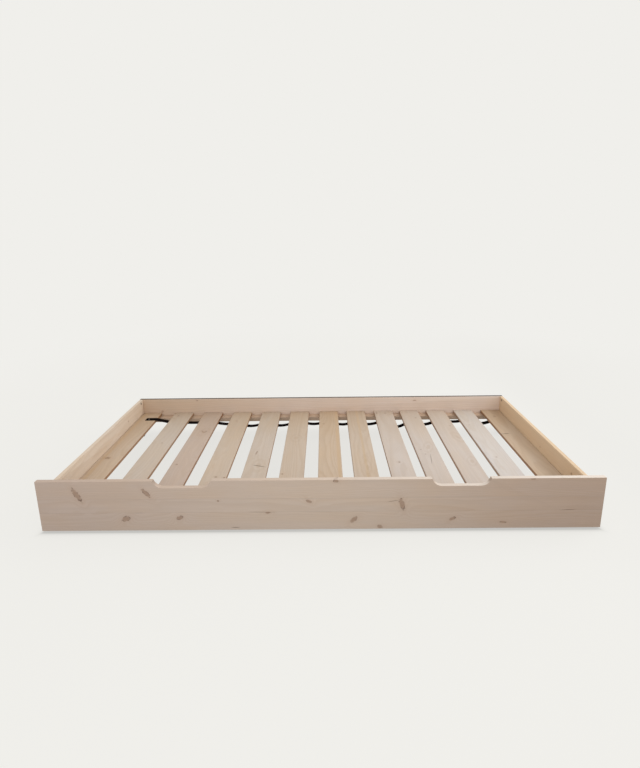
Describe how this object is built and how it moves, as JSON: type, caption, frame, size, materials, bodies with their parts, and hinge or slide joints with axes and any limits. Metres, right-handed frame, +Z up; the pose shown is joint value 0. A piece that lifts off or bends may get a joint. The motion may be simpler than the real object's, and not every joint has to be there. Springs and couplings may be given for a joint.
{
  "type": "trundle bed",
  "caption": "Low rectangular pine trundle bed: a slatted tray with a longer notched front panel, on small castors hidden inside its sides.",
  "frame": {"origin": "centre of the footprint, on the floor", "axes": "+X along the bed to the right of someone facing the front panel, +Y from the front panel to the back, +Z up"},
  "size_m": [2, 0.95, 0.203],
  "materials": {
    "pine_front": "unfinished glued pine board, fine sanded",
    "pine_box": "unfinished pine, planed",
    "pine_slat": "unfinished pine, planed, eased edges",
    "pine_ledge": "unfinished pine, sawn",
    "dowel_wood": "fluted beech",
    "webbing": "flat woven black tape",
    "zinc_fixings": "zinc plated, dull",
    "zinc_sheet": "pressed sheet, zinc plated",
    "wheel_plastic": "moulded, matte",
    "tyre_rubber": "soft grey tread, matte"
  },
  "bodies": {
    "bed_frame": {"front_panel": "pine_front", "back_panel": "pine_box", "left_side": "pine_box", "right_side": "pine_box", "front_ledge": "pine_ledge", "back_ledge": "pine_ledge", "slat_01": "pine_slat", "slat_02": "pine_slat", "slat_03": "pine_slat", "slat_04": "pine_slat", "slat_05": "pine_slat", "slat_06": "pine_slat", "slat_07": "pine_slat", "slat_08": "pine_slat", "slat_09": "pine_slat", "slat_10": "pine_slat", "slat_11": "pine_slat", "slat_12": "pine_slat", "slat_13": "pine_slat", "rear_webbing": "webbing", "front_webbing": "webbing", "webbing_tacks": "zinc_fixings", "cam_locks": "zinc_fixings", "cam_bolts": "zinc_fixings", "ledge_screws": "zinc_fixings", "castor_screws": "zinc_fixings", "corner_dowels": "dowel_wood", "bracket_front_left": "zinc_sheet", "axle_front_left": "zinc_fixings", "bracket_front_right": "zinc_sheet", "axle_front_right": "zinc_fixings", "bracket_back_left": "zinc_sheet", "axle_back_left": "zinc_fixings", "bracket_back_right": "zinc_sheet", "axle_back_right": "zinc_fixings"},
    "front_left_wheel": {"wheel_front_left": "wheel_plastic", "tyre_front_left": "tyre_rubber"},
    "front_right_wheel": {"wheel_front_right": "wheel_plastic", "tyre_front_right": "tyre_rubber"},
    "back_left_wheel": {"wheel_back_left": "wheel_plastic", "tyre_back_left": "tyre_rubber"},
    "back_right_wheel": {"wheel_back_right": "wheel_plastic", "tyre_back_right": "tyre_rubber"}
  },
  "joints": [
    {"name": "front_left_roll", "type": "hinge", "parent": "bed_frame", "child": "front_left_wheel", "pos_m": [-0.942, -0.383, 0.025], "axis": [1, 0, 0], "continuous": true},
    {"name": "front_right_roll", "type": "hinge", "parent": "bed_frame", "child": "front_right_wheel", "pos_m": [0.942, -0.383, 0.025], "axis": [1, 0, 0], "continuous": true},
    {"name": "back_left_roll", "type": "hinge", "parent": "bed_frame", "child": "back_left_wheel", "pos_m": [-0.942, 0.383, 0.025], "axis": [1, 0, 0], "continuous": true},
    {"name": "back_right_roll", "type": "hinge", "parent": "bed_frame", "child": "back_right_wheel", "pos_m": [0.942, 0.383, 0.025], "axis": [1, 0, 0], "continuous": true}
  ]
}
